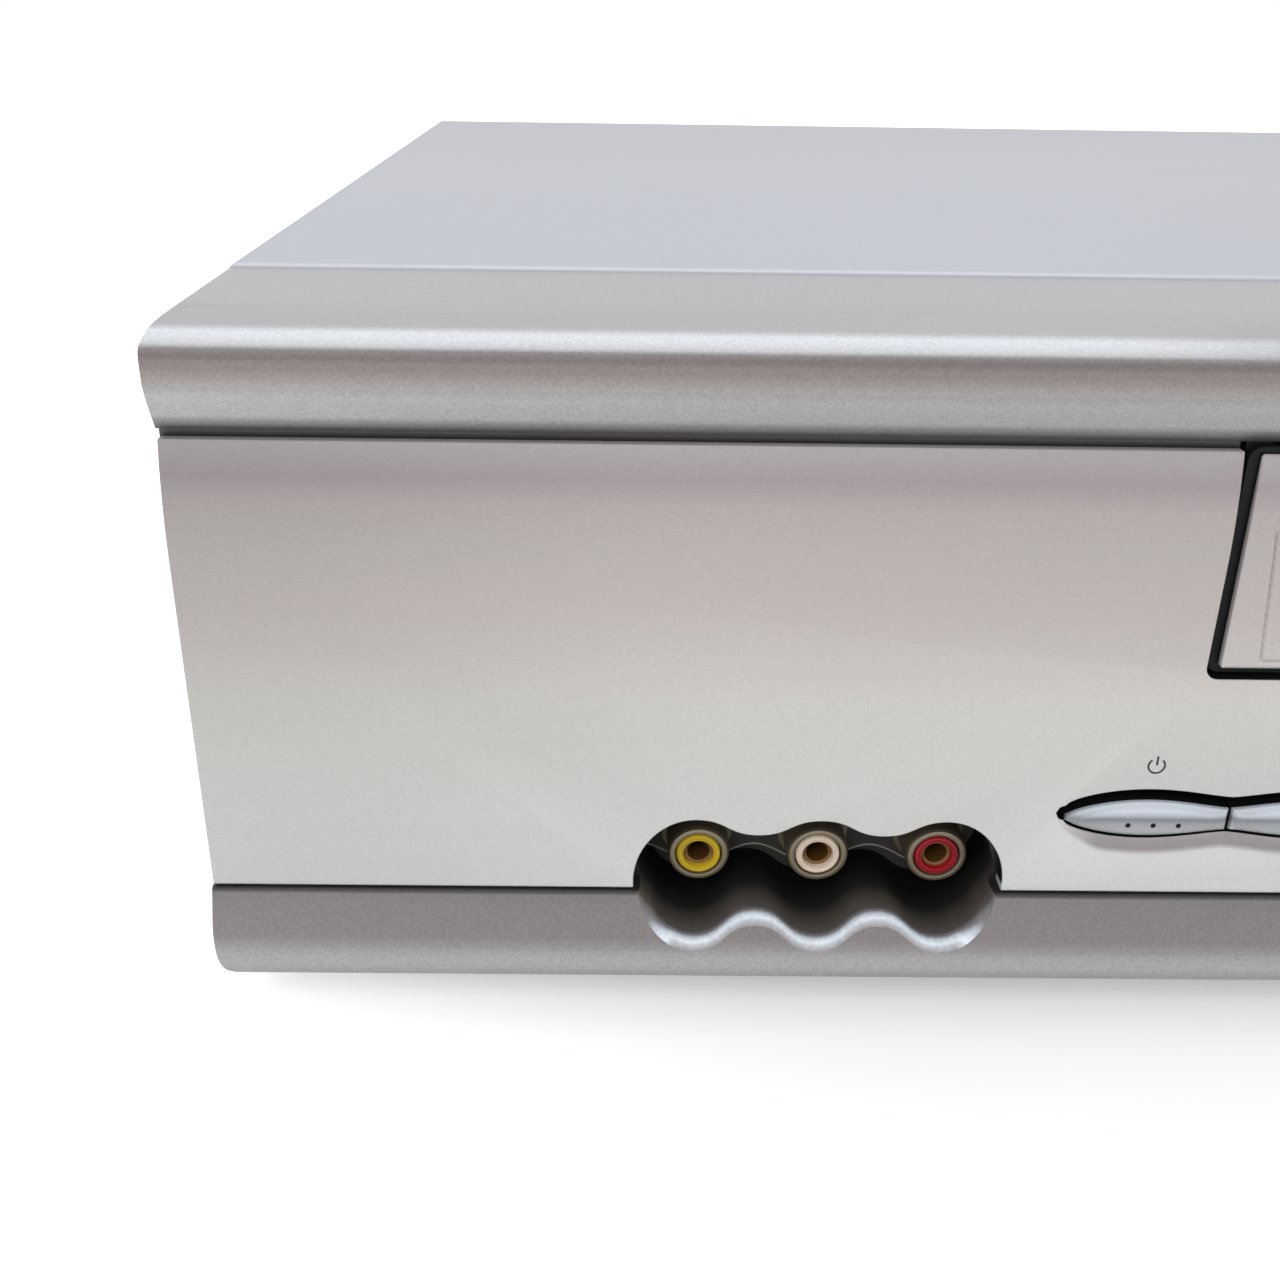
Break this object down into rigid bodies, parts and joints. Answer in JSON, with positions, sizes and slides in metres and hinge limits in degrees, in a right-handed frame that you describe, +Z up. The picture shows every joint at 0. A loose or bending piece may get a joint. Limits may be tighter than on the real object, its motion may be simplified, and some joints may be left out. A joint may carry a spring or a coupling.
{
  "type": "video cassette recorder",
  "caption": "Low silver video cassette recorder with a sprung cassette door, push keys, front sockets in a lobed recess and a working tape mechanism inside.",
  "frame": {"origin": "on the surface it stands on, under the middle of the box round the recorder", "axes": "+X to the right seen from the front, +Y from the front to the rear, +Z up"},
  "size_m": [0.3642, 0.27, 0.092],
  "materials": {
    "cover_paint": "satin silver paint",
    "frame_paint": "dark silver paint with a fine sparkle",
    "panel_paint": "pale silver paint",
    "key_silver": "bright silver plating",
    "black_plastic": "satin black",
    "grey_plastic": "dark grey, fine texture",
    "smoked_window": "smoked, polished",
    "yellow_plastic": "moulded",
    "cream_plastic": "moulded",
    "red_plastic": "moulded",
    "nickel": "dull nickel",
    "zinc_steel": "zinc plated sheet",
    "machined_metal": "turned",
    "board_green": "laminate",
    "board_tan": "laminate",
    "white_nylon": "moulded",
    "rubber": "matt",
    "ferrite": "ferrite core, taped winding"
  },
  "bodies": {
    "cabinet": {"main_chassis": "zinc_steel", "top_cover": "cover_paint", "rear_panel": "black_plastic", "front_frame": "frame_paint", "front_panel": "panel_paint", "key_frame": "black_plastic", "display_window": "smoked_window", "front_circuit_board": "board_tan", "front_socket_block": "grey_plastic", "video_socket_barrel": "nickel", "left_audio_socket_barrel": "nickel", "right_audio_socket_barrel": "nickel", "video_socket_ring": "yellow_plastic", "left_audio_socket_ring": "cream_plastic", "right_audio_socket_ring": "red_plastic", "door_spring": "zinc_steel", "left_cover_screw": "zinc_steel", "right_cover_screw": "zinc_steel", "front_left_foot": "rubber", "rear_left_foot": "rubber", "front_right_foot": "rubber", "rear_right_foot": "rubber", "main_circuit_board": "board_green", "power_transformer": "ferrite", "heat_sink": "machined_metal", "tuner_box": "zinc_steel", "rear_socket_block": "black_plastic", "cord_bushing": "black_plastic", "mechanism_deck": "zinc_steel", "drive_belt": "rubber", "loading_motor": "zinc_steel", "lower_drum": "machined_metal", "audio_control_head": "machined_metal", "full_erase_head": "machined_metal", "carriage_frame": "zinc_steel"},
    "door": {"cassette_door": "black_plastic", "door_face": "panel_paint"},
    "power_key": {"power_button": "key_silver"},
    "eject_key": {"eject_button": "key_silver"},
    "rewind_key": {"rewind_button": "key_silver"},
    "play_key": {"play_button": "key_silver"},
    "fast_forward_key": {"fast_forward_button": "key_silver"},
    "stop_key": {"stop_button": "key_silver"},
    "record_key": {"record_button": "key_silver"},
    "slider": {"carriage_slider": "zinc_steel"},
    "holder": {"cassette_holder": "zinc_steel"},
    "head_drum": {"upper_drum": "machined_metal"},
    "supply_reel": {"supply_reel_table": "white_nylon"},
    "take_up_reel": {"take_up_reel_table": "white_nylon"},
    "clutch": {"clutch_wheel": "white_nylon"},
    "arm": {"idler_arm": "zinc_steel"},
    "idler": {"idler_wheel": "rubber"},
    "capstan": {"capstan_flywheel": "machined_metal"},
    "cam": {"mode_cam_gear": "white_nylon"},
    "pinion": {"loading_pinion": "machined_metal"},
    "supply_guide_boat": {"supply_guide": "machined_metal"},
    "take_up_guide_boat": {"take_up_guide": "machined_metal"},
    "pinch_lever": {"pinch_arm": "zinc_steel"},
    "pinch_wheel": {"pinch_roller": "rubber"}
  },
  "joints": [
    {"name": "door_hinge", "type": "hinge", "parent": "cabinet", "child": "door", "pos_m": [0.045, -0.1232, 0.0841], "axis": [1, 0, 0], "range_deg": [0, 90], "stiffness_Nm_per_rad": 0.01, "springref_deg": -17.19},
    {"name": "power_press", "type": "slide", "parent": "cabinet", "child": "power_key", "axis": [0, 1, 0], "range_m": [0, 0.001], "stiffness_N_per_m": 300, "springref_m": -0.001},
    {"name": "eject_press", "type": "slide", "parent": "cabinet", "child": "eject_key", "axis": [0, 1, 0], "range_m": [0, 0.001], "stiffness_N_per_m": 300, "springref_m": -0.001},
    {"name": "rewind_press", "type": "slide", "parent": "cabinet", "child": "rewind_key", "axis": [0, 1, 0], "range_m": [0, 0.001], "stiffness_N_per_m": 300, "springref_m": -0.001},
    {"name": "play_press", "type": "slide", "parent": "cabinet", "child": "play_key", "axis": [0, 1, 0], "range_m": [0, 0.001], "stiffness_N_per_m": 300, "springref_m": -0.001},
    {"name": "fast_forward_press", "type": "slide", "parent": "cabinet", "child": "fast_forward_key", "axis": [0, 1, 0], "range_m": [0, 0.001], "stiffness_N_per_m": 300, "springref_m": -0.001},
    {"name": "stop_press", "type": "slide", "parent": "cabinet", "child": "stop_key", "axis": [0, 1, 0], "range_m": [0, 0.001], "stiffness_N_per_m": 300, "springref_m": -0.001},
    {"name": "record_press", "type": "slide", "parent": "cabinet", "child": "record_key", "axis": [0, 1, 0], "range_m": [0, 0.001], "stiffness_N_per_m": 300, "springref_m": -0.001},
    {"name": "carriage_slide", "type": "slide", "parent": "cabinet", "child": "slider", "axis": [0, 1, 0], "range_m": [0, 0.07]},
    {"name": "holder_drop", "type": "slide", "parent": "slider", "child": "holder", "axis": [0, 0, -1], "range_m": [0, 0.014]},
    {"name": "drum_spin", "type": "hinge", "parent": "cabinet", "child": "head_drum", "pos_m": [0.045, 0.084, 0.0322], "axis": [0, 0.0958, 0.9954], "continuous": true},
    {"name": "supply_reel_spin", "type": "hinge", "parent": "cabinet", "child": "supply_reel", "pos_m": [-0.00137, -0.009, 0.03], "axis": [0, 0, 1], "continuous": true},
    {"name": "take_up_reel_spin", "type": "hinge", "parent": "cabinet", "child": "take_up_reel", "pos_m": [0.09137, -0.009, 0.03], "axis": [0, 0, 1], "continuous": true},
    {"name": "capstan_spin", "type": "hinge", "parent": "cabinet", "child": "capstan", "pos_m": [0.093, 0.05, 0.03], "axis": [0, 0, 1], "continuous": true},
    {"name": "clutch_spin", "type": "hinge", "parent": "cabinet", "child": "clutch", "pos_m": [0.045, 0.00854, 0.03], "axis": [0, 0, 1], "continuous": true},
    {"name": "idler_swing", "type": "hinge", "parent": "cabinet", "child": "arm", "pos_m": [0.045, 0.00854, 0.03], "axis": [0, 0, 1], "range_deg": [-30, 30]},
    {"name": "idler_spin", "type": "hinge", "parent": "arm", "child": "idler", "pos_m": [0.045, -0.01171, 0.03], "axis": [0, 0, 1], "continuous": true},
    {"name": "cam_turn", "type": "hinge", "parent": "cabinet", "child": "cam", "pos_m": [-0.03, 0.069, 0.03], "axis": [0, 0, 1], "range_deg": [-0.1, 270.1]},
    {"name": "pinion_turn", "type": "hinge", "parent": "cabinet", "child": "pinion", "pos_m": [-0.04773, 0.05658, 0.03], "axis": [0, 0, 1], "range_deg": [-811, 1]},
    {"name": "supply_guide_slide", "type": "slide", "parent": "cabinet", "child": "supply_guide_boat", "axis": [-0.4472, 0.8944, 0], "range_m": [0, 0.0313]},
    {"name": "take_up_guide_slide", "type": "slide", "parent": "cabinet", "child": "take_up_guide_boat", "axis": [0.4472, 0.8944, 0], "range_m": [-0.0001, 0.0314]},
    {"name": "pinch_swing", "type": "hinge", "parent": "cabinet", "child": "pinch_lever", "pos_m": [0.118, 0.062, 0.03], "axis": [0, 0, 1], "range_deg": [-0.1, 25.1]},
    {"name": "pinch_roller_spin", "type": "hinge", "parent": "pinch_lever", "child": "pinch_wheel", "pos_m": [0.09399, 0.06967, 0.04], "axis": [0, 0, 1], "continuous": true}
  ],
  "couplings": [
    {"joint": "clutch_spin", "follows": "capstan_spin", "ratio": 0.66667},
    {"joint": "idler_spin", "follows": "capstan_spin", "ratio": -0.44444},
    {"joint": "cam_turn", "follows": "supply_guide_slide", "rad_per_m": 150.53},
    {"joint": "pinion_turn", "follows": "supply_guide_slide", "rad_per_m": -451.59},
    {"joint": "take_up_guide_slide", "follows": "supply_guide_slide", "ratio": 1},
    {"joint": "pinch_swing", "follows": "supply_guide_slide", "rad_per_m": 13.938}
  ]
}
